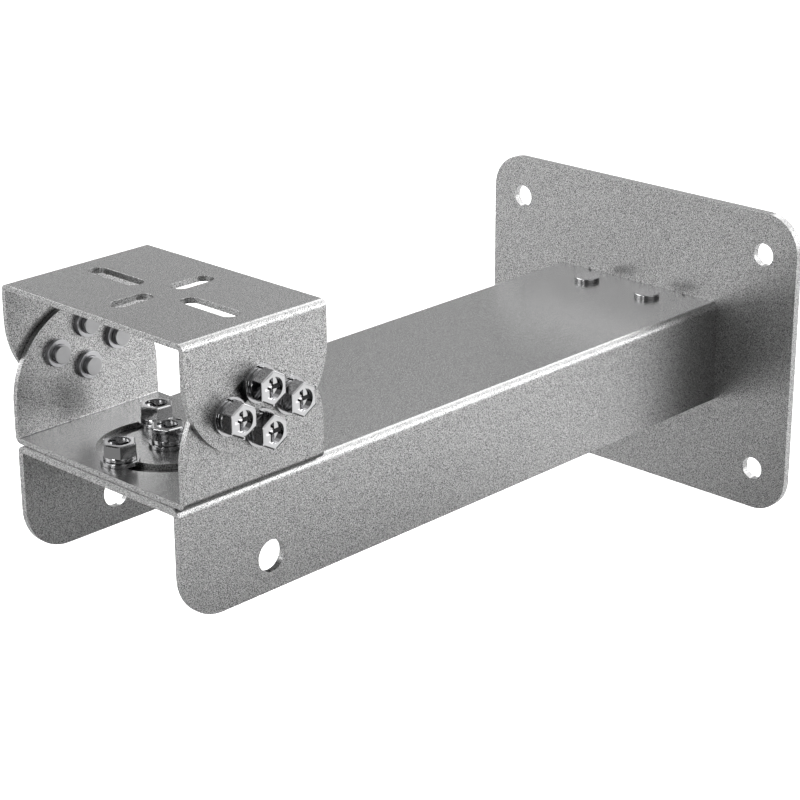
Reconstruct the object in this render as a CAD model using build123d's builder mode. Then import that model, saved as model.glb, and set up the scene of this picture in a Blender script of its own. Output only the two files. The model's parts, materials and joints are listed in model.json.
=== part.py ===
from build123d import *
import os
from math import cos, radians, sin, tan

os.makedirs("parts", exist_ok=True)

# Camera wall bracket, in millimetres. The origin is the centre of the wall plate's back face.
# +Y points into the wall, so the arm reaches out along -Y. +Z is up, and X runs across the arm.

# Wall plate
plate_width = 188.0
plate_height = 150.0
plate_sheet = 4.0
plate_corner_radius = 18.0
wall_hole_diameter = 11.0
wall_hole_spacing_x = 150.0
wall_hole_spacing_z = 109.0

# Riveting tab, cut out of the wall plate and folded forward under the arm's web
tab_width = 57.0
tab_reach = 30.0
tab_bend_radius = 1.0
tab_relief_width = 2.0
tab_relief_rise = 1.2
window_end_clearance = 3.0

# Arm, a channel folded from one sheet and open below
arm_width = 100.0
arm_height = 50.0
arm_length = 345.0
arm_sheet = 3.0
arm_bend_radius = 0.5
arm_nose_radius = 21.0
side_hole_diameter = 14.0
side_hole_from_end = 48.0
side_hole_above_edge = 15.3

# Rivets that hold the arm's web on the tab
rivet_spacing = 37.6
rivet_from_plate = 15.5
rivet_head_diameter = 12.4
rivet_head_height = 2.2
rivet_head_chamfer = 0.3
rivet_shank_diameter = 6.4
rivet_tail_diameter = 10.0
rivet_tail_height = 2.2

# The two yokes. The lower one turns on the arm, and the upper one tilts on the lower one's ears.
yoke_depth = 75.0
yoke_sheet = 2.5
yoke_bend_radius = 0.5
yoke_inner_width = 100.0
ear_gap = 0.3
lower_ear_height = 54.2
upper_ear_height = 53.3
seat_height = 68.3
pivot_from_arm_end = 38.5
tilt_pivot_height = 25.2

# Clamp slots, arcs about the two pivots
slot_width = 8.5
pan_slot_radius = 25.3
pan_slot_middle = -90.0
pan_bolt_step = 120.0
pan_travel = 15.0
tilt_slot_radius = 18.3
tilt_slot_middle = 90.0
tilt_bolt_step = 60.0
tilt_travel = 10.0

# Straight slots in the camera seat, a pair across and a pair along the arm
seat_slot_width = 8.5
across_slot_length = 31.0
across_slot_spacing = 57.5
along_slot_length = 20.5
along_slot_spacing = 32.0

# M8 fasteners: hexagon head bolts with a cross recess, spring and flat washers, and press nuts
bolt_diameter = 8.0
bolt_length = 13.6
bolt_end_chamfer = 0.2
head_across_flats = 13.0
head_height = 5.3
head_top_diameter = 14.4
head_chamfer_angle = 30.0
head_dish_diameter = 9.2
head_dish_depth = 1.6
recess_span = 8.6
recess_arm_width = 1.9
recess_depth = 1.6
recess_turn = -30.0
pan_head_turn = 22.0
tilt_head_turn = 30.0
spring_washer_diameter = 13.6
spring_washer_thickness = 2.0
spring_washer_split = 1.2
washer_diameter = 16.0
washer_thickness = 1.6
washer_bore_clearance = 0.2
nut_collar_diameter = 12.0
nut_collar_height = 2.2
nut_spigot_diameter = 10.0
nut_spigot_end_gap = 0.2

# Named clearances
thread_clearance = 0.03
spigot_clearance = 0.03
rivet_clearance = 0.03
pivot_clearance = 0.1
slide_gap = 0.05

# Levels and places that follow from the sizes above
plate_front_y = -plate_sheet
arm_end_y = plate_front_y - arm_length
web_top_z = arm_height / 2
web_under_z = web_top_z - arm_sheet
tab_under_z = web_under_z - plate_sheet
pivot_y = arm_end_y + pivot_from_arm_end
lower_base_z = web_top_z + slide_gap
lower_floor_z = lower_base_z + yoke_sheet
tilt_axis_z = web_top_z + tilt_pivot_height
seat_top_z = web_top_z + seat_height
lower_outer_width = yoke_inner_width + 2 * yoke_sheet
upper_outer_width = lower_outer_width + 2 * ear_gap + 2 * yoke_sheet
pivot_bore_diameter = bolt_diameter + 2 * pivot_clearance
spigot_bore_diameter = nut_spigot_diameter + 2 * spigot_clearance

# Clamp bolt directions: the pan bolts start at the nose, the tilt bolts straight above their pivot
pan_bolt_angles = {
    "front": pan_slot_middle,
    "left": pan_slot_middle - pan_bolt_step,
    "right": pan_slot_middle + pan_bolt_step,
}
tilt_bolt_angles = {
    "top": tilt_slot_middle,
    "front": tilt_slot_middle + tilt_bolt_step,
    "back": tilt_slot_middle - tilt_bolt_step,
}


def on_circle(radius, angle):
    """Point of a circle about the origin, at an angle in degrees."""
    return radius * cos(radians(angle)), radius * sin(radians(angle))


def folded_channel(plane, width, leg, sheet, bend_radius, depth):
    """Channel folded from one sheet: its web's outer face lies on the plane's X axis, legs along -Y."""
    half = width / 2
    with BuildPart() as channel:
        with BuildSketch(plane):
            with BuildLine():
                outer = FilletPolyline(
                    (-half, -leg), (-half, 0), (half, 0), (half, -leg), radius=bend_radius + sheet
                )
                inner = FilletPolyline(
                    (-half + sheet, -leg),
                    (-half + sheet, -sheet),
                    (half - sheet, -sheet),
                    (half - sheet, -leg),
                    radius=bend_radius,
                )
                Line(outer @ 0, inner @ 0)
                Line(outer @ 1, inner @ 1)
            make_face()
        extrude(amount=depth)
    return channel.part


def ear_outline(height, direction):
    """Outline of a yoke's ears seen along X, in (y, z) about the pivot line and the web's outer face."""
    radius = yoke_depth / 2
    with BuildSketch() as outline:
        with Locations((0, direction * (height - radius) / 2)):
            Rectangle(yoke_depth, height - radius)
        with Locations((0, direction * (height - radius))):
            Circle(radius)
    return outline.sketch


def arc_slot(radius, first_angle, last_angle):
    """Clamp slot that follows an arc about the origin from one angle to another."""
    with BuildSketch() as slot:
        with BuildLine(mode=Mode.PRIVATE) as middle:
            CenterArc((0, 0), radius, first_angle, last_angle - first_angle)
        SlotArc(arc=middle.edge(), height=slot_width)
    return slot.sketch


def save(part, name):
    """Labels one piece with its name and writes it to its own file."""
    part.label = name
    export_step(part, f"parts/{name}.step")


# Wall plate: the sheet with its holes, the window that the tab leaves, and the tab
bend_z = web_under_z + tab_bend_radius
tab_end_y = plate_front_y - tab_reach
window_width = tab_width + 2 * tab_relief_width
window_bottom_z = web_under_z - tab_reach - window_end_clearance
relief_top_z = web_top_z + tab_relief_rise
rivet_y = plate_front_y - rivet_from_plate

with BuildPart() as wall_plate:
    with BuildSketch(Plane.XZ):
        RectangleRounded(plate_width, plate_height, plate_corner_radius)
        with GridLocations(wall_hole_spacing_x, wall_hole_spacing_z, 2, 2):
            Circle(wall_hole_diameter / 2, mode=Mode.SUBTRACT)
        with Locations((0, (bend_z + window_bottom_z) / 2)):
            Rectangle(window_width, bend_z - window_bottom_z, mode=Mode.SUBTRACT)
        with Locations((0, (relief_top_z + bend_z) / 2)):
            with GridLocations(tab_width + tab_relief_width, 0, 2, 1):
                Rectangle(tab_relief_width, relief_top_z - bend_z, mode=Mode.SUBTRACT)
    extrude(amount=plate_sheet)
    with BuildSketch(Plane.YZ):
        with BuildLine():
            back_bend = CenterArc(
                (plate_front_y - tab_bend_radius, bend_z), plate_sheet + tab_bend_radius, 0, -90
            )
            front_bend = CenterArc((plate_front_y - tab_bend_radius, bend_z), tab_bend_radius, 0, -90)
            Polyline(back_bend @ 1, (tab_end_y, tab_under_z), (tab_end_y, web_under_z), front_bend @ 1)
            Line(front_bend @ 0, back_bend @ 0)
        make_face()
    extrude(amount=tab_width / 2, both=True)
    with Locations(Location((0, rivet_y, web_under_z))):
        with GridLocations(rivet_spacing, 0, 2, 1):
            Hole(rivet_shank_diameter / 2 + rivet_clearance, depth=plate_sheet)
save(wall_plate.part, "wall_plate")

# Arm: its web's lower back edge is eased to clear the tab's bend
arm_blank = folded_channel(
    Plane((0, plate_front_y, web_top_z), x_dir=(1, 0, 0), z_dir=(0, -1, 0)),
    arm_width, arm_height, arm_sheet, arm_bend_radius, arm_length,
)
side_hole_y = arm_end_y + side_hole_from_end
side_hole_z = -arm_height / 2 + side_hole_above_edge

with BuildPart() as arm:
    add(arm_blank)
    back_edges = arm.edges().filter_by(Axis.X).group_by(Axis.Y)[-1]
    chamfer(back_edges.group_by(Axis.Z)[-2], tab_bend_radius * 1.1)
    nose_edges = arm.edges().filter_by(Axis.X).group_by(Axis.Y)[0].group_by(Axis.Z)[0]
    fillet(nose_edges, arm_nose_radius)
    with BuildSketch(Plane.YZ):
        with Locations((side_hole_y, side_hole_z)):
            Circle(side_hole_diameter / 2)
    extrude(amount=arm_width / 2, both=True, mode=Mode.SUBTRACT)
    with BuildSketch(Plane.XY.offset(web_top_z)):
        with Locations((0, pivot_y)):
            Circle(spigot_bore_diameter / 2)
        for angle in pan_bolt_angles.values():
            x, y = on_circle(pan_slot_radius, angle)
            with Locations((x, pivot_y + y)):
                Circle(spigot_bore_diameter / 2)
        with Locations((0, rivet_y)):
            with GridLocations(rivet_spacing, 0, 2, 1):
                Circle(rivet_shank_diameter / 2 + rivet_clearance)
    extrude(amount=-arm_sheet, mode=Mode.SUBTRACT)
save(arm.part, "arm")

# Lower yoke: a base that lies on the arm and two round-topped ears, with the pan slot in the base
lower_blank = folded_channel(
    Plane((0, pivot_y - yoke_depth / 2, lower_base_z), x_dir=(1, 0, 0), z_dir=(0, 1, 0)),
    lower_outer_width, lower_ear_height, yoke_sheet, yoke_bend_radius, yoke_depth,
)
pan_slot_end = pan_bolt_step + pan_travel

with BuildPart() as lower_yoke:
    add(lower_blank)
    with BuildSketch(Plane.YZ.shift_origin((0, pivot_y, lower_base_z))):
        add(ear_outline(lower_ear_height, 1))
    extrude(amount=lower_outer_width / 2, both=True, mode=Mode.INTERSECT)
    with BuildSketch(Plane((0, pivot_y, lower_base_z))):
        Circle(pivot_bore_diameter / 2)
        add(arc_slot(pan_slot_radius, pan_slot_middle - pan_slot_end, pan_slot_middle + pan_slot_end))
    extrude(amount=yoke_sheet, mode=Mode.SUBTRACT)
    with BuildSketch(Plane.YZ.shift_origin((0, pivot_y, tilt_axis_z))):
        Circle(spigot_bore_diameter / 2)
        for angle in tilt_bolt_angles.values():
            with Locations(on_circle(tilt_slot_radius, angle)):
                Circle(spigot_bore_diameter / 2)
    extrude(amount=lower_outer_width / 2, both=True, mode=Mode.SUBTRACT)
save(lower_yoke.part, "lower_yoke")

# Upper yoke: the camera seat and two ears outside the lower yoke's, each with a tilt slot
upper_blank = folded_channel(
    Plane((0, pivot_y + yoke_depth / 2, seat_top_z), x_dir=(1, 0, 0), z_dir=(0, -1, 0)),
    upper_outer_width, upper_ear_height, yoke_sheet, yoke_bend_radius, yoke_depth,
)
tilt_slot_end = tilt_bolt_step + tilt_travel

with BuildPart() as upper_yoke:
    add(upper_blank)
    with BuildSketch(Plane.YZ.shift_origin((0, pivot_y, seat_top_z))):
        add(ear_outline(upper_ear_height, -1))
    extrude(amount=upper_outer_width / 2, both=True, mode=Mode.INTERSECT)
    with BuildSketch(Plane.YZ.shift_origin((0, pivot_y, tilt_axis_z))):
        Circle(pivot_bore_diameter / 2)
        add(arc_slot(tilt_slot_radius, tilt_slot_middle - tilt_slot_end, tilt_slot_middle + tilt_slot_end))
    extrude(amount=upper_outer_width / 2, both=True, mode=Mode.SUBTRACT)
    with BuildSketch(Plane((0, pivot_y, seat_top_z))):
        with GridLocations(across_slot_spacing, 0, 2, 1):
            SlotOverall(across_slot_length, seat_slot_width)
        with GridLocations(0, along_slot_spacing, 1, 2):
            SlotOverall(along_slot_length, seat_slot_width, rotation=90)
    extrude(amount=-yoke_sheet, mode=Mode.SUBTRACT)
save(upper_yoke.part, "upper_yoke")

# Rivet, in its own frame: the head sits on z = 0, and the shank goes down through both sheets
rivet_grip = arm_sheet + plate_sheet

with BuildPart() as rivet:
    with BuildSketch():
        Circle(rivet_head_diameter / 2)
    extrude(amount=rivet_head_height)
    chamfer(rivet.edges().group_by(Axis.Z)[-1], rivet_head_chamfer)
    with BuildSketch():
        Circle(rivet_shank_diameter / 2)
    extrude(amount=-rivet_grip)
    with BuildSketch(Plane.XY.offset(-rivet_grip)):
        Circle(rivet_tail_diameter / 2)
    extrude(amount=-rivet_tail_height)

for side, x in (("left", -rivet_spacing / 2), ("right", rivet_spacing / 2)):
    save(rivet.part.moved(Location((x, rivet_y, web_top_z))), f"arm_rivet_{side}")

# Fasteners, each in its own frame: the sheet that they clamp has its outer face on z = 0
stack_height = washer_thickness + spring_washer_thickness
head_top_z = stack_height + head_height
head_across_corners = head_across_flats / cos(radians(30))
head_chamfer_drop = (head_across_corners - head_top_diameter) / 2 * tan(radians(head_chamfer_angle))

with BuildPart() as hex_bolt:
    with BuildSketch(Plane.XY.offset(stack_height)):
        RegularPolygon(head_across_flats / 2, 6, major_radius=False)
    extrude(amount=head_height)
    with BuildSketch(Plane.XZ):
        with BuildLine():
            Polyline(
                (0, stack_height),
                (head_across_corners / 2, stack_height),
                (head_across_corners / 2, head_top_z - head_chamfer_drop),
                (head_top_diameter / 2, head_top_z),
                (0, head_top_z),
                close=True,
            )
        make_face()
    revolve(axis=Axis.Z, mode=Mode.INTERSECT)
    with BuildSketch(Plane.XY.offset(head_top_z)):
        Circle(head_dish_diameter / 2)
    extrude(amount=-head_dish_depth, mode=Mode.SUBTRACT)
    with BuildSketch(Plane.XY.offset(head_top_z - head_dish_depth)):
        Rectangle(recess_span, recess_arm_width, rotation=recess_turn)
        Rectangle(recess_arm_width, recess_span, rotation=recess_turn)
    extrude(amount=-recess_depth, mode=Mode.SUBTRACT)
    with BuildSketch(Plane.XY.offset(stack_height)):
        Circle(bolt_diameter / 2)
    extrude(amount=-bolt_length)
    chamfer(hex_bolt.edges().group_by(Axis.Z)[0], bolt_end_chamfer)

with BuildPart() as spring_washer:
    with BuildSketch(Plane.XY.offset(washer_thickness)):
        Circle(spring_washer_diameter / 2)
        Circle(bolt_diameter / 2 + washer_bore_clearance, mode=Mode.SUBTRACT)
        with Locations((spring_washer_diameter / 2, 0)):
            Rectangle(spring_washer_diameter, spring_washer_split, mode=Mode.SUBTRACT)
    extrude(amount=spring_washer_thickness)

with BuildPart() as flat_washer:
    with BuildSketch():
        Circle(washer_diameter / 2)
        Circle(bolt_diameter / 2 + washer_bore_clearance, mode=Mode.SUBTRACT)
    extrude(amount=washer_thickness)


def press_nut(sheet):
    """Press nut below a sheet whose lower face is z = 0: a collar, and a spigot up into the sheet."""
    with BuildPart() as nut:
        with BuildSketch():
            Circle(nut_collar_diameter / 2)
        extrude(amount=-nut_collar_height)
        with BuildSketch():
            Circle(nut_spigot_diameter / 2)
        extrude(amount=sheet - nut_spigot_end_gap)
        with BuildSketch(Plane.XY.offset(-nut_collar_height)):
            Circle(bolt_diameter / 2 + thread_clearance)
        extrude(amount=nut_collar_height + sheet, mode=Mode.SUBTRACT)
    return nut.part


def save_fastener(name, head_place, nut_place, nut, head_turn):
    """Writes one bolt with its washers and its press nut, each at its own place."""
    clamp = head_place * Location((0, 0, slide_gap))
    save(hex_bolt.part.moved(clamp * Location((0, 0, 0), (0, 0, head_turn))), f"{name}_bolt")
    save(spring_washer.part.moved(clamp * Location((0, 0, 0), (0, 0, 90))), f"{name}_spring_washer")
    save(flat_washer.part.moved(clamp), f"{name}_washer")
    save(nut.moved(nut_place), f"{name}_press_nut")


# Pan fasteners: the pivot bolt and three clamp bolts, upright, with their nuts in the arm's web
web_nut = press_nut(arm_sheet)
pan_points = {"pan_pivot": (0.0, 0.0)}
for side, angle in pan_bolt_angles.items():
    pan_points[f"pan_{side}"] = on_circle(pan_slot_radius, angle)

for name, (x, y) in pan_points.items():
    head_place = Location((x, pivot_y + y, lower_floor_z))
    nut_place = Location((x, pivot_y + y, web_under_z))
    save_fastener(name, head_place, nut_place, web_nut, pan_head_turn)

# Tilt fasteners: the same set through each pair of ears, with the nuts in the lower yoke's ears
ear_nut = press_nut(yoke_sheet)
tilt_points = {"pivot": (0.0, 0.0)}
for side, angle in tilt_bolt_angles.items():
    tilt_points[side] = on_circle(tilt_slot_radius, angle)

for flank, turn in (("left", -1), ("right", 1)):
    for side, (y, z) in tilt_points.items():
        outward = Plane((0, pivot_y + y, tilt_axis_z + z), x_dir=(0, turn, 0), z_dir=(turn, 0, 0))
        head_place = outward.offset(upper_outer_width / 2).location
        nut_place = outward.offset(yoke_inner_width / 2).location
        save_fastener(f"tilt_{flank}_{side}", head_place, nut_place, ear_nut, tilt_head_turn)
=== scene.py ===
"""Camera wall bracket: blasted sheet steel and polished bolts, in a pale studio."""
from __future__ import annotations

import json
import logging
import math
from dataclasses import dataclass, field
from enum import Enum

import bpy
from mathutils import Euler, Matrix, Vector

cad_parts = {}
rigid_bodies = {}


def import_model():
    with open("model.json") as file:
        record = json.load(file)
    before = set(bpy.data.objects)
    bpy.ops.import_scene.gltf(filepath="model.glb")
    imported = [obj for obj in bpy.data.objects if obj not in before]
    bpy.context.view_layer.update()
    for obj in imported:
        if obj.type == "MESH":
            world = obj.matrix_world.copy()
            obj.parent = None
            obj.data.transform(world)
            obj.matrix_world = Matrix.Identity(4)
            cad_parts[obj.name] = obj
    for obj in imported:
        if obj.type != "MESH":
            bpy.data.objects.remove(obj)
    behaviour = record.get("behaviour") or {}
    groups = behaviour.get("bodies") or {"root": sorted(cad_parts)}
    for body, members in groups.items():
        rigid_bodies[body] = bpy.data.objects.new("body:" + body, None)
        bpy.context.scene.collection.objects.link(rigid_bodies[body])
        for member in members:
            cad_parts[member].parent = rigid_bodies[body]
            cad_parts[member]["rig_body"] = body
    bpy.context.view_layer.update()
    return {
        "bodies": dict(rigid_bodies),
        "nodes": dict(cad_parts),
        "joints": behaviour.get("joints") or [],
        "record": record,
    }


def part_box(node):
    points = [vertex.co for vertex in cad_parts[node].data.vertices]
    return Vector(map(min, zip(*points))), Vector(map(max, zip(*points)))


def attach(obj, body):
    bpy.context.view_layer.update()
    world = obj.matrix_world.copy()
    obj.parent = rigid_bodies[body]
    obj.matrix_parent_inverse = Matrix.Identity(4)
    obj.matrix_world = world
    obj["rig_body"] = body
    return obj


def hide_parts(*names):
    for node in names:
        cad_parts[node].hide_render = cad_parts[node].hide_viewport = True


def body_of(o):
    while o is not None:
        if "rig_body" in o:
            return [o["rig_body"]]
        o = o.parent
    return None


log = logging.getLogger("camera_wall_bracket")

MILLIMETRE = 0.001
PICTURE_SIDE = 800
# Corners closer than this, in metres, are one corner or lie at one level
SAME_PLACE = 1e-6
SAME_LEVEL = 1e-5


def linear(hex_colour: str) -> tuple[float, float, float, float]:
    """Turns an sRGB hex colour into Blender's linear colour.

    Args:
        hex_colour: Six hex digits after a hash sign.

    Returns:
        Red, green, blue and a full alpha, each from 0 to 1.
    """
    channels = [int(hex_colour[i : i + 2], 16) / 255 for i in (1, 3, 5)]
    red, green, blue = (c / 12.92 if c <= 0.04045 else ((c + 0.055) / 1.055) ** 2.4 for c in channels)
    return red, green, blue, 1.0


def add_node(
    tree: bpy.types.NodeTree,
    kind: str,
    settings: dict[str, object] | None = None,
    links: dict[str | int, bpy.types.NodeSocket] | None = None,
) -> bpy.types.Node:
    """Adds one node with its settings and incoming links.

    Args:
        tree: The node tree that gets the node.
        kind: The node's type name in Blender.
        settings: Values by name, each for an input socket or else for a property of the node.
        links: Output sockets by the name or number of the input that each feeds.

    Returns:
        The new node.
    """
    node = tree.nodes.new(kind)
    for name, value in (settings or {}).items():
        if hasattr(node, name):
            setattr(node, name, value)
        else:
            node.inputs[name].default_value = value
    for name, socket in (links or {}).items():
        tree.links.new(socket, node.inputs[name])
    return node


class Slot(Enum):
    """The record's material slots."""

    SHEET = "sheet"
    FASTENERS = "fasteners"
    INSERTS = "inserts"


# The share of its full range that a noise keeps to, apart from rare peaks
NOISE_LOW, NOISE_HIGH = 0.3, 0.7


@dataclass(frozen=True)
class BlastedSteel:
    """Sheet steel, blasted with fine grit: a satin silver grey, its grit speckled in the colour, with painted
    sparkle where that speckle is stronger on upright faces.
    """

    name: str = "blasted_sheet_steel"
    colour: str = "#A8A8A8"
    upright_roughness: float = 0.40
    level_roughness: float = 0.27
    grit_mm: float = 0.38
    grit_height_mm: float = 0.03
    grit_turn: tuple[float, float, float] = (34.0, 21.0, 47.0)
    grit_speckle_and_sparkle: float = 0.95
    level_share: float = 0.5
    upright_from: float = 0.55
    level_from: float = 0.95

    def make(self) -> bpy.types.Material:
        """Builds the material.

        Returns:
            The steel, with grit in its bump and its tone, the tone's speckle painted stronger on upright
            faces as sparkle.
        """
        material = bpy.data.materials.new(self.name)
        material.use_nodes = True
        tree = material.node_tree
        shader = tree.nodes["Principled BSDF"]
        shader.inputs["Metallic"].default_value = 1.0
        place = add_node(tree, "ShaderNodeTexCoord")
        # The light of a room shows grit on upright faces; level faces mirror the plain ceiling. So bump,
        # roughness and colour speckle are weaker on level faces; the colour speckle's extra strength on
        # upright faces is painted sparkle
        normal = add_node(tree, "ShaderNodeSeparateXYZ", links={0: place.outputs["Normal"]})
        slope = add_node(tree, "ShaderNodeMath", {"operation": "ABSOLUTE"}, {0: normal.outputs["Z"]})
        upright = add_node(
            tree,
            "ShaderNodeMapRange",
            {
                "From Min": self.upright_from,
                "From Max": self.level_from,
                "To Min": 1.0,
                "To Max": self.level_share,
            },
            {"Value": slope.outputs[0]},
        )
        # Turned, so that no flat face lies along the noise's own grid, where it fades
        turned = add_node(
            tree,
            "ShaderNodeMapping",
            {"Rotation": tuple(math.radians(angle) for angle in self.grit_turn)},
            {"Vector": place.outputs["Object"]},
        )
        # One cell per blasted pit, drawn at about one pixel of the picture
        grit = add_node(
            tree,
            "ShaderNodeTexNoise",
            {"Scale": 1 / (self.grit_mm * MILLIMETRE), "Detail": 1.0, "Roughness": 0.5},
            {"Vector": turned.outputs[0]},
        )
        height = add_node(
            tree,
            "ShaderNodeBump",
            {"Distance": self.grit_height_mm * MILLIMETRE},
            {"Height": grit.outputs["Fac"], "Strength": upright.outputs[0]},
        )
        roughness = add_node(
            tree,
            "ShaderNodeMapRange",
            {
                "From Min": self.level_share,
                "To Min": self.level_roughness,
                "To Max": self.upright_roughness,
            },
            {"Value": upright.outputs[0]},
        )
        # Painted sparkle: the grit's random speckle in the colour, painted stronger on upright faces, where
        # the room's light shows it
        tone = add_node(
            tree,
            "ShaderNodeMapRange",
            {
                "From Min": NOISE_LOW,
                "From Max": NOISE_HIGH,
                "To Min": -self.grit_speckle_and_sparkle,
                "To Max": self.grit_speckle_and_sparkle,
            },
            {"Value": grit.outputs["Fac"]},
        )
        shade = add_node(
            tree,
            "ShaderNodeMath",
            {"operation": "MULTIPLY_ADD"},
            {0: tone.outputs[0], 1: upright.outputs[0]},
        )
        shade.inputs[2].default_value = 1.0
        colour = add_node(
            tree,
            "ShaderNodeVectorMath",
            {"operation": "SCALE"},
            {"Scale": shade.outputs[0]},
        )
        colour.inputs[0].default_value = linear(self.colour)[:3]
        tree.links.new(colour.outputs[0], shader.inputs["Base Color"])
        tree.links.new(roughness.outputs[0], shader.inputs["Roughness"])
        tree.links.new(height.outputs[0], shader.inputs["Normal"])
        return material


@dataclass(frozen=True)
class PolishedStainless:
    """Stainless steel, polished bright: hard reflections of the room, with faint handling haze."""

    name: str = "polished_stainless_steel"
    colour: str = "#B8B8B9"
    roughness: float = 0.10
    haze: float = 0.06
    haze_mm: float = 2.5
    grain_mm: float = 0.3
    grain_height_mm: float = 0.002

    def make(self) -> bpy.types.Material:
        """Builds the material.

        Returns:
            The steel, with haze in its roughness and a trace of the polish in its bump.
        """
        material = bpy.data.materials.new(self.name)
        material.use_nodes = True
        tree = material.node_tree
        shader = tree.nodes["Principled BSDF"]
        shader.inputs["Base Color"].default_value = linear(self.colour)
        shader.inputs["Metallic"].default_value = 1.0
        place = add_node(tree, "ShaderNodeTexCoord")
        haze = add_node(
            tree,
            "ShaderNodeTexNoise",
            {"Scale": 1 / (self.haze_mm * MILLIMETRE), "Detail": 3.0},
            {"Vector": place.outputs["Object"]},
        )
        roughness = add_node(
            tree,
            "ShaderNodeMapRange",
            {
                "From Min": NOISE_LOW,
                "From Max": NOISE_HIGH,
                "To Min": self.roughness - self.haze / 2,
                "To Max": self.roughness + self.haze / 2,
            },
            {"Value": haze.outputs["Fac"]},
        )
        grain = add_node(
            tree,
            "ShaderNodeTexNoise",
            {"Scale": 1 / (self.grain_mm * MILLIMETRE), "Detail": 1.0},
            {"Vector": place.outputs["Object"]},
        )
        height = add_node(
            tree,
            "ShaderNodeBump",
            {"Distance": self.grain_height_mm * MILLIMETRE},
            {"Height": grain.outputs["Fac"]},
        )
        tree.links.new(roughness.outputs[0], shader.inputs["Roughness"])
        tree.links.new(height.outputs[0], shader.inputs["Normal"])
        return material


@dataclass(frozen=True)
class WasherSteel(PolishedStainless):
    """Tumbled steel of the flat washers and rivets: greyer and a little softer than the bolts."""

    name: str = "tumbled_washer_steel"
    colour: str = "#A8A8A9"
    roughness: float = 0.16
    haze: float = 0.08


@dataclass(frozen=True)
class CutSteel(PolishedStainless):
    """Bolt steel where it was cut off and left as it is: matt and darker than the turned sides."""

    name: str = "cut_bolt_steel"
    colour: str = "#A4A4A5"
    roughness: float = 0.42
    haze: float = 0.10
    grain_mm: float = 0.3
    grain_height_mm: float = 0.02


@dataclass(frozen=True)
class ZincedSteel(PolishedStainless):
    """Zinc-plated steel as it leaves the bath: a matt silver grey, much softer than the bolts."""

    name: str = "zinc_plated_steel"
    colour: str = "#B4B4B6"
    roughness: float = 0.38
    haze: float = 0.10
    grain_mm: float = 0.4
    grain_height_mm: float = 0.02


@dataclass(frozen=True)
class SoftBox:
    """A rectangular soft lamp, as bright as a white wall where its brightness is 1."""

    name: str
    place: tuple[float, float, float]
    size: tuple[float, float]
    brightness: float
    aim: tuple[float, float, float] = (0.0, -0.2, 0.0)

    def build(self) -> bpy.types.Object:
        """Makes the lamp.

        Returns:
            The lamp.
        """
        bpy.ops.object.light_add(type="AREA", location=self.place)
        lamp = bpy.context.object
        lamp.name = self.name
        lamp.data.shape = "RECTANGLE"
        lamp.data.size, lamp.data.size_y = self.size
        lamp.data.energy = self.brightness * math.pi * self.size[0] * self.size[1]
        lamp.rotation_euler = (Vector(self.aim) - Vector(self.place)).to_track_quat("-Z", "Y").to_euler()
        return lamp


@dataclass(frozen=True)
class Card:
    """A matt card that only reflections see, lying flat unless it faces elsewhere."""

    name: str
    colour: str
    place: tuple[float, float, float]
    size: tuple[float, float]
    facing: tuple[float, float, float] = (0.0, 0.0, 1.0)

    def build(self) -> bpy.types.Object:
        """Makes the card.

        Returns:
            The card.
        """
        bpy.ops.mesh.primitive_plane_add(size=1.0, location=self.place)
        card = bpy.context.object
        card.name = self.name
        card.scale = (self.size[0], self.size[1], 1.0)
        card.rotation_euler = Vector(self.facing).to_track_quat("Z", "Y").to_euler()
        material = bpy.data.materials.new(self.name)
        material.use_nodes = True
        shader = material.node_tree.nodes["Principled BSDF"]
        shader.inputs["Base Color"].default_value = linear(self.colour)
        shader.inputs["Roughness"].default_value = 1.0
        shader.inputs["Specular IOR Level"].default_value = 0.0
        card.data.materials.append(material)
        card.visible_camera = False
        card.visible_diffuse = False
        card.visible_shadow = False
        return card


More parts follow.
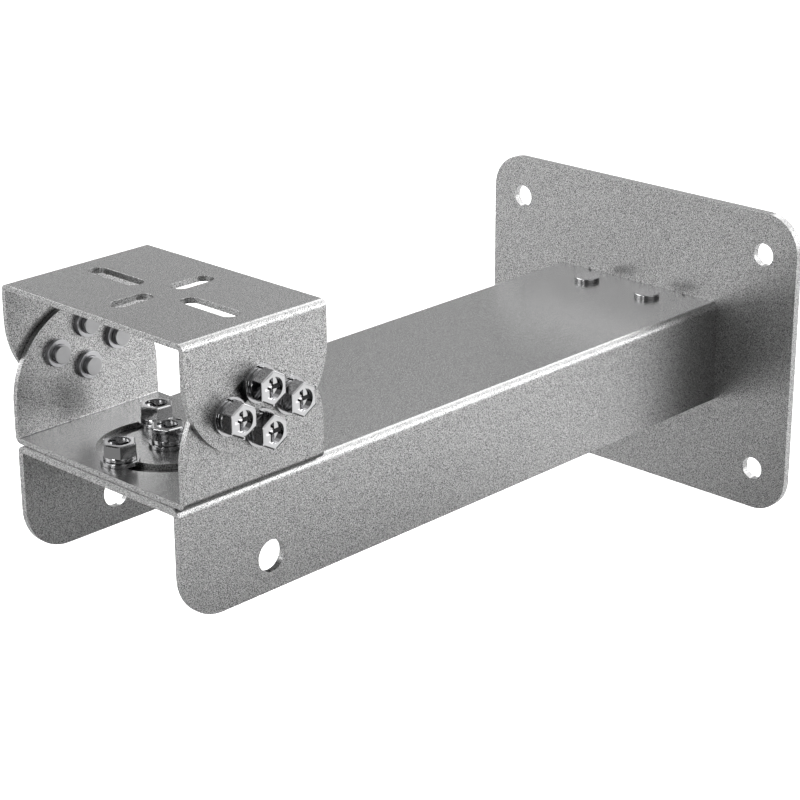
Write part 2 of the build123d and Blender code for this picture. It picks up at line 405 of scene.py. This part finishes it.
@dataclass
class Studio:
    """A pale floor, a plain even surround, soft boxes, cards for the reflections, and the camera."""

    azimuth: float = 43.89
    elevation: float = 20.88
    roll: float = -0.28
    distance: float = 0.98942
    target: tuple[float, float, float] = (0.02909, -0.20437, 0.025)
    focal_pixels: float = 2294.19
    sensor: float = 36.0
    floor_level: float = -0.35
    floor_radius: float = 9.0
    floor_colour: str = "#F4F4F4"
    floor_glow: float = 0.6
    mirrored_glow: float = 0.06
    floor_roughness: float = 0.9
    horizon: float = 1.0
    ceiling: float = 0.30
    horizon_up_to: float = 9.0
    ceiling_from: float = 21.0
    soft_boxes: tuple[SoftBox, ...] = (
        SoftBox("back_box", (0.65, 1.7, 1.4), (4.0, 2.2), 1.8),
        SoftBox("right_back_box", (1.45, 1.2, 0.62), (1.0, 1.15), 2.9),
        SoftBox("right_top_box", (1.3, -0.15, 1.55), (1.2, 1.2), 0.8),
        SoftBox("back_left_box", (-0.85, 1.2, 1.5), (1.2, 0.8), 1.8),
        SoftBox("left_top_box", (-1.3, -0.15, 1.55), (1.2, 1.2), 6.0),
        SoftBox("front_left_box", (-1.45, -1.7, 0.85), (1.4, 1.0), 2.3),
        SoftBox("front_box", (0.15, -2.2, 0.35), (0.7, 0.7), 7.0, (0.07, 0.0, 0.0)),
    )
    cards: tuple[Card, ...] = (
        Card("floor_card", "#0A0A0A", (1.2, -1.2, -0.34), (1.7, 1.9)),
        Card("near_card", "#8C8C8C", (0.0, -1.5, -0.339), (0.9, 1.2)),
        # Painted shade: a dark card under the bracket, seen only in reflections, stands in for the floor's
        # shade beneath it
        Card("shade_under_card", "#5C5C5C", (0.135, -0.2, -0.16), (0.31, 0.56)),
        Card("under_left_card", "#B4B4B4", (-0.08, -0.2, -0.16), (0.12, 0.56)),
        Card("left_front_card", "#C8C8C8", (-0.6, -0.6, -0.339), (0.9, 0.9)),
        # Painted shadow: a grey card behind the wall plate, seen only in reflections, stands in for the
        # plate's shadow on the floor
        Card("plate_shadow_card", "#848484", (0.72, 0.74, -0.339), (0.55, 0.22)),
        Card("front_card", "#0A0A0A", (0.9, -2.3, 0.24), (3.0, 1.18), (-0.36, 0.93, 0.0)),
    )

    def camera(self) -> bpy.types.Object:
        """Makes the camera that stands where the photographer did.

        Returns:
            The scene's camera.
        """
        azimuth, elevation = math.radians(self.azimuth), math.radians(self.elevation)
        back = Vector(
            (
                math.sin(azimuth) * math.cos(elevation),
                -math.cos(azimuth) * math.cos(elevation),
                math.sin(elevation),
            )
        )
        bpy.ops.object.camera_add()
        camera = bpy.context.object
        camera.name = "camera"
        camera.data.sensor_width = self.sensor
        camera.data.lens = self.sensor * self.focal_pixels / PICTURE_SIDE
        turn = (-back).to_track_quat("-Z", "Y") @ Euler((0, 0, math.radians(self.roll))).to_quaternion()
        camera.rotation_euler = turn.to_euler()
        camera.location = Vector(self.target) + back * self.distance
        camera.data.clip_start = 0.02
        bpy.context.scene.camera = camera
        return camera

    def surroundings(self) -> None:
        """Lights the room evenly from all sides."""
        world = bpy.data.worlds.new("pale_room")
        world.use_nodes = True
        bpy.context.scene.world = world
        tree = world.node_tree
        place = add_node(tree, "ShaderNodeTexCoord")
        height = add_node(tree, "ShaderNodeSeparateXYZ", links={0: place.outputs["Generated"]})
        level = add_node(
            tree,
            "ShaderNodeMapRange",
            {
                "interpolation_type": "SMOOTHSTEP",
                "From Min": math.sin(math.radians(self.horizon_up_to)),
                "From Max": math.sin(math.radians(self.ceiling_from)),
                "To Min": self.horizon,
                "To Max": self.ceiling,
            },
            {"Value": height.outputs["Z"]},
        )
        tree.links.new(level.outputs[0], tree.nodes["Background"].inputs["Color"])

    def floor(self) -> bpy.types.Object:
        """Makes the pale floor, which shows white and keeps the object's soft shadow.

        Returns:
            The floor.
        """
        bpy.ops.mesh.primitive_circle_add(
            vertices=96, radius=self.floor_radius, fill_type="NGON", location=(0, 0, self.floor_level)
        )
        floor = bpy.context.object
        floor.name = "floor"
        material = bpy.data.materials.new("pale_floor")
        material.use_nodes = True
        tree = material.node_tree
        shader = tree.nodes["Principled BSDF"]
        shader.inputs["Base Color"].default_value = linear(self.floor_colour)
        shader.inputs["Roughness"].default_value = self.floor_roughness
        shader.inputs["Specular IOR Level"].default_value = 0.0
        shader.inputs["Emission Color"].default_value = (1.0, 1.0, 1.0, 1.0)
        path = add_node(tree, "ShaderNodeLightPath")
        mirrored = add_node(
            tree,
            "ShaderNodeMath",
            {"operation": "MAXIMUM"},
            {0: path.outputs["Is Glossy Ray"], 1: path.outputs["Is Transmission Ray"]},
        )
        share = add_node(tree, "ShaderNodeMath", {"operation": "MULTIPLY"}, {0: mirrored.outputs[0]})
        share.inputs[1].default_value = self.mirrored_glow / self.floor_glow
        seen = add_node(
            tree,
            "ShaderNodeMath",
            {"operation": "MAXIMUM"},
            {0: path.outputs["Is Camera Ray"], 1: share.outputs[0]},
        )
        glow = add_node(tree, "ShaderNodeMath", {"operation": "MULTIPLY"}, {0: seen.outputs[0]})
        glow.inputs[1].default_value = self.floor_glow
        tree.links.new(glow.outputs[0], shader.inputs["Emission Strength"])
        floor.data.materials.append(material)
        return floor

    def build(self) -> None:
        """Sets up the whole studio."""
        self.camera()
        self.surroundings()
        self.floor()
        for fitting in self.soft_boxes + self.cards:
            fitting.build()


@dataclass
class EasedPiece:
    """One piece of the bracket in its CAD form, with its sharp edges eased as deburring leaves them.

    The mesh is a copy of the CAD node's, joined up and cleared of the edges inside its flat faces.
    """

    node: bpy.types.Object
    name: str
    body: str
    slot: Slot
    finish: bpy.types.Material
    ease_mm: float
    segments: int = 2
    sharp_angle: float = 30.0
    flat_angle: float = 0.5

    def copy(self) -> bpy.types.Object:
        """Copies the CAD node's mesh into a new piece.

        Returns:
            The new piece, selected and active.
        """
        bpy.ops.object.select_all(action="DESELECT")
        piece = bpy.data.objects.new(self.name, self.node.data.copy())
        piece.data.name = self.name
        bpy.context.collection.objects.link(piece)
        piece.select_set(True)
        bpy.context.view_layer.objects.active = piece
        return piece

    def join_up(self) -> None:
        """Merges the corners that the CAD mesh keeps apart."""
        bpy.ops.object.mode_set(mode="EDIT")
        bpy.ops.mesh.select_all(action="SELECT")
        bpy.ops.mesh.remove_doubles(threshold=SAME_PLACE)
        bpy.ops.mesh.select_mode(type="VERT")
        bpy.ops.object.mode_set(mode="OBJECT")

    def clear_flats(self) -> None:
        """Clears the edges inside flat faces, and turns every face outward."""
        bpy.ops.object.mode_set(mode="EDIT")
        bpy.ops.mesh.select_all(action="SELECT")
        bpy.ops.mesh.dissolve_limited(angle_limit=math.radians(self.flat_angle))
        bpy.ops.mesh.select_all(action="SELECT")
        bpy.ops.mesh.normals_make_consistent(inside=False)
        bpy.ops.object.mode_set(mode="OBJECT")

    def shape(self, piece: bpy.types.Object) -> None:
        """Works the form on, where a kind of piece needs more than eased edges.

        Args:
            piece: The piece, in object mode.
        """

    def ease(self, piece: bpy.types.Object) -> None:
        """Rounds the sharp edges.

        Args:
            piece: The piece to round.
        """
        bevel = piece.modifiers.new("eased_edges", "BEVEL")
        bevel.width = self.ease_mm * MILLIMETRE
        bevel.segments = self.segments
        bevel.limit_method = "ANGLE"
        bevel.angle_limit = math.radians(self.sharp_angle)
        bevel.miter_outer = "MITER_ARC"
        bpy.ops.object.modifier_apply(modifier=bevel.name)
        bpy.ops.object.shade_smooth_by_angle(angle=math.radians(self.sharp_angle))
        # The flat faces keep their own normals, and the rounded edges turn between them
        weighted = piece.modifiers.new("face_normals", "WEIGHTED_NORMAL")
        weighted.keep_sharp = True
        weighted.weight = 100
        bpy.ops.object.modifier_apply(modifier=weighted.name)

    def build(self) -> bpy.types.Object:
        """Makes the piece, gives it its finish and puts it on its body.

        Returns:
            The finished piece.
        """
        piece = self.copy()
        self.join_up()
        self.shape(piece)
        self.clear_flats()
        self.ease(piece)
        piece.data.materials.clear()
        piece.data.materials.append(self.finish)
        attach(piece, self.body)
        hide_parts(self.node.name)
        faces = len(piece.data.polygons)
        log.info("%s: %d faces, %s, rides on %s", piece.name, faces, self.slot.value, self.body)
        return piece


@dataclass
class BoltPiece(EasedPiece):
    """A hexagon bolt: the rim of its head slopes back, and its end is plain where it was cut off."""

    end_finish: bpy.types.Material | None = None
    rim_width_mm: float = 0.9
    rim_drop_mm: float = 0.4
    inside_corners_mm: float = 7.0
    end_depth_mm: float = 0.3

    def ends(self) -> tuple[int, float, float]:
        """Finds how the bolt lies. Only the left tilt bolts have their heads at the low end.

        Returns:
            The number of its axis, and the levels of its head's face and of its end on it.
        """
        low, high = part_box(self.node.name)
        across = [high[i] - low[i] for i in range(3)]
        axis = across.index(max(across))
        if "tilt_left" in self.name:
            return axis, low[axis], high[axis]
        return axis, high[axis], low[axis]

    def shape(self, piece: bpy.types.Object) -> None:
        """Slopes the rim of the head's face back.

        Args:
            piece: The bolt, in object mode.
        """
        axis, face, end = self.ends()
        low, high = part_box(self.node.name)
        middle = [(high[i] + low[i]) / 2 for i in range(3) if i != axis]
        mesh = piece.data
        for item in (*mesh.edges, *mesh.vertices):
            item.select = False
        for polygon in mesh.polygons:
            polygon.select = all(abs(mesh.vertices[i].co[axis] - face) < SAME_LEVEL for i in polygon.vertices)
        bpy.ops.object.mode_set(mode="EDIT")
        bpy.ops.mesh.select_mode(type="FACE")
        bpy.ops.mesh.inset(thickness=self.rim_width_mm * MILLIMETRE, use_even_offset=True)
        bpy.ops.mesh.select_mode(type="VERT")
        bpy.ops.mesh.select_all(action="DESELECT")
        bpy.ops.object.mode_set(mode="OBJECT")
        for vertex in mesh.vertices:
            out = math.dist([c for i, c in enumerate(vertex.co) if i != axis], middle)
            at_corner = out > self.inside_corners_mm * MILLIMETRE
            vertex.select = abs(vertex.co[axis] - face) < SAME_LEVEL and at_corner
        shift = [0.0, 0.0, 0.0]
        shift[axis] = math.copysign(self.rim_drop_mm * MILLIMETRE, end - face)
        bpy.ops.object.mode_set(mode="EDIT")
        bpy.ops.transform.translate(value=shift)
        bpy.ops.object.mode_set(mode="OBJECT")

    def build(self) -> bpy.types.Object:
        """Makes the bolt, and gives its cut end the plain finish.

        Returns:
            The finished bolt.
        """
        piece = super().build()
        axis, _, end = self.ends()
        piece.data.materials.append(self.end_finish)
        for polygon in piece.data.polygons:
            if abs(polygon.center[axis] - end) < self.end_depth_mm * MILLIMETRE:
                polygon.material_index = 1
        return piece


@dataclass
class Bracket:
    """The bracket: four folded sheets, two rivets, and the pan and tilt fasteners."""

    frame: dict
    sheet: BlastedSteel = field(default_factory=BlastedSteel)
    bright: PolishedStainless = field(default_factory=PolishedStainless)
    washer: WasherSteel = field(default_factory=WasherSteel)
    cut: CutSteel = field(default_factory=CutSteel)
    plated: ZincedSteel = field(default_factory=ZincedSteel)
    sheet_ease_mm: float = 0.12
    fastener_ease_mm: float = 0.14
    insert_ease_mm: float = 0.35
    spring_ease_mm: float = 0.5

    def build(self) -> list[bpy.types.Object]:
        """Makes every piece.

        Returns:
            The pieces, one for each CAD node.
        """
        sheet, bright, washer, cut, plated = (
            finish.make() for finish in (self.sheet, self.bright, self.washer, self.cut, self.plated)
        )
        slots = {entry["node"]: Slot(entry["material_slot"]) for entry in self.frame["record"]["subparts"]}
        pieces = []
        for name, node in self.frame["nodes"].items():
            slot = slots[name]
            if slot is Slot.SHEET:
                finish, ease_mm = sheet, self.sheet_ease_mm
            elif slot is Slot.INSERTS:
                finish, ease_mm = plated, self.insert_ease_mm
            elif name.endswith("spring_washer"):
                finish, ease_mm = bright, self.spring_ease_mm
            else:
                finish = bright if name.endswith("bolt") else washer
                ease_mm = self.fastener_ease_mm
            basics = (node, f"{name}_eased", body_of(node)[0], slot, finish, ease_mm)
            piece = BoltPiece(*basics, end_finish=cut) if name.endswith("bolt") else EasedPiece(*basics)
            pieces.append(piece.build())
        return pieces


def main() -> None:
    """Builds the studio and the bracket."""
    logging.basicConfig(level=logging.INFO, format="%(name)s: %(message)s")
    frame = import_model()
    bpy.ops.object.select_all(action="DESELECT")
    Studio().build()
    Bracket(frame).build()
    bpy.context.scene.view_settings.view_transform = "Standard"


if __name__ == "__main__":
    main()
